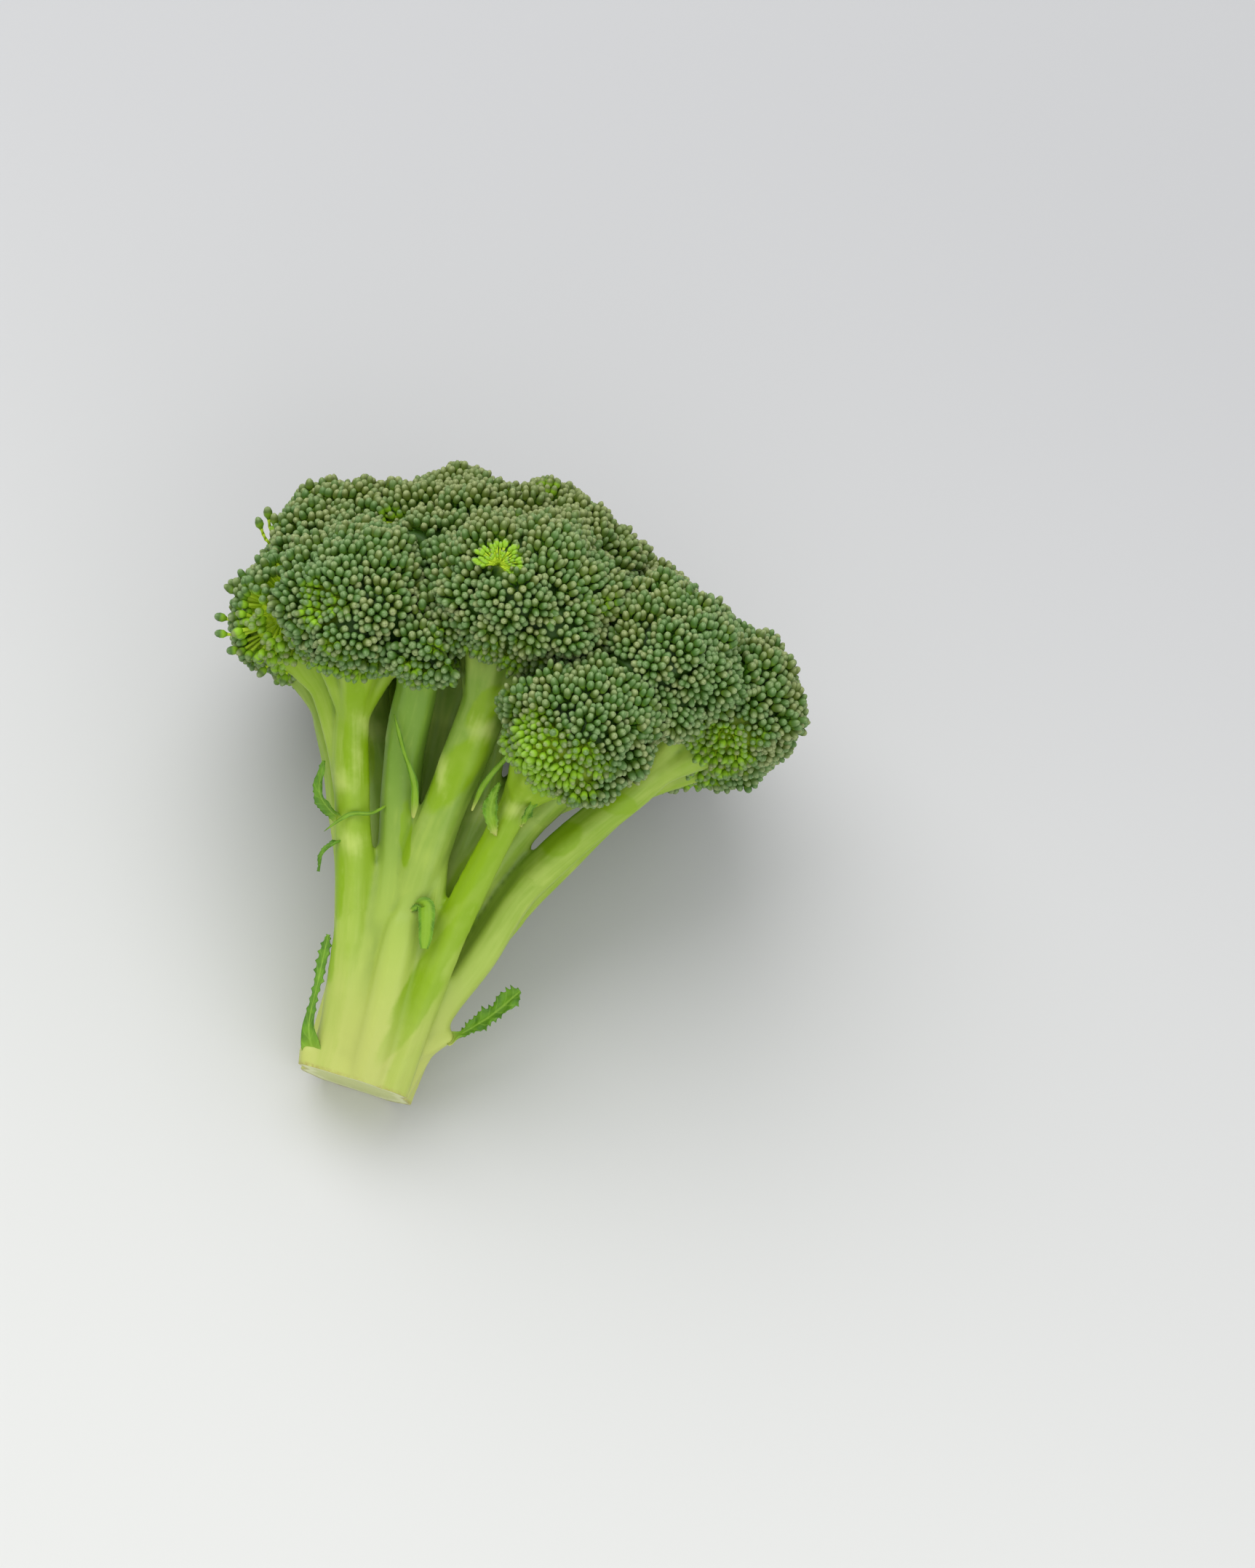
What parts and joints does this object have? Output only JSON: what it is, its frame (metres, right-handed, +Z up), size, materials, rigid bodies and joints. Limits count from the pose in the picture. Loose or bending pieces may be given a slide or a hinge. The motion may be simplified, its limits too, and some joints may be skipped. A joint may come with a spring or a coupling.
{
  "type": "broccoli head",
  "caption": "Cut broccoli head lying on its back: a pale green branching stalk that carries a dome of dark green florets, with small serrated leaves on the stalk.",
  "frame": {"origin": "middle of the lying head's bounding box, at the level of the surface that it lies on", "axes": "+Z up; +Y along the surface from the cut end of the stalk towards the crown; +X to the right of the stalk for someone who looks down with the cut end nearest"},
  "size_m": [0.1618, 0.179, 0.1341],
  "materials": {
    "stalk": "smooth waxy skin, satin",
    "floret": "matte, covered in closed buds",
    "leaf": "waxy, satin"
  },
  "bodies": {
    "root": {"stalk": "stalk", "floret_front_left": "floret", "floret_front_centre": "floret", "floret_front_low": "floret", "floret_left_tip": "floret", "floret_right_tip": "floret", "floret_right_front": "floret", "floret_top_left": "floret", "floret_top_centre": "floret", "floret_top_right": "floret", "floret_top_back": "floret", "floret_back_left": "floret", "floret_back_right": "floret", "floret_left_back": "floret", "floret_right_back": "floret", "leaf_right": "leaf", "leaf_left": "leaf", "leaf_stub_flap": "leaf", "leaf_edge_high": "leaf", "leaf_edge_low": "leaf", "bract_centre": "leaf", "bract_right": "leaf", "bract_low_right": "leaf", "floret_top_middle": "floret", "floret_back_centre": "floret", "bract_low_left": "leaf", "floret_front_nook": "floret"}
  },
  "joints": []
}
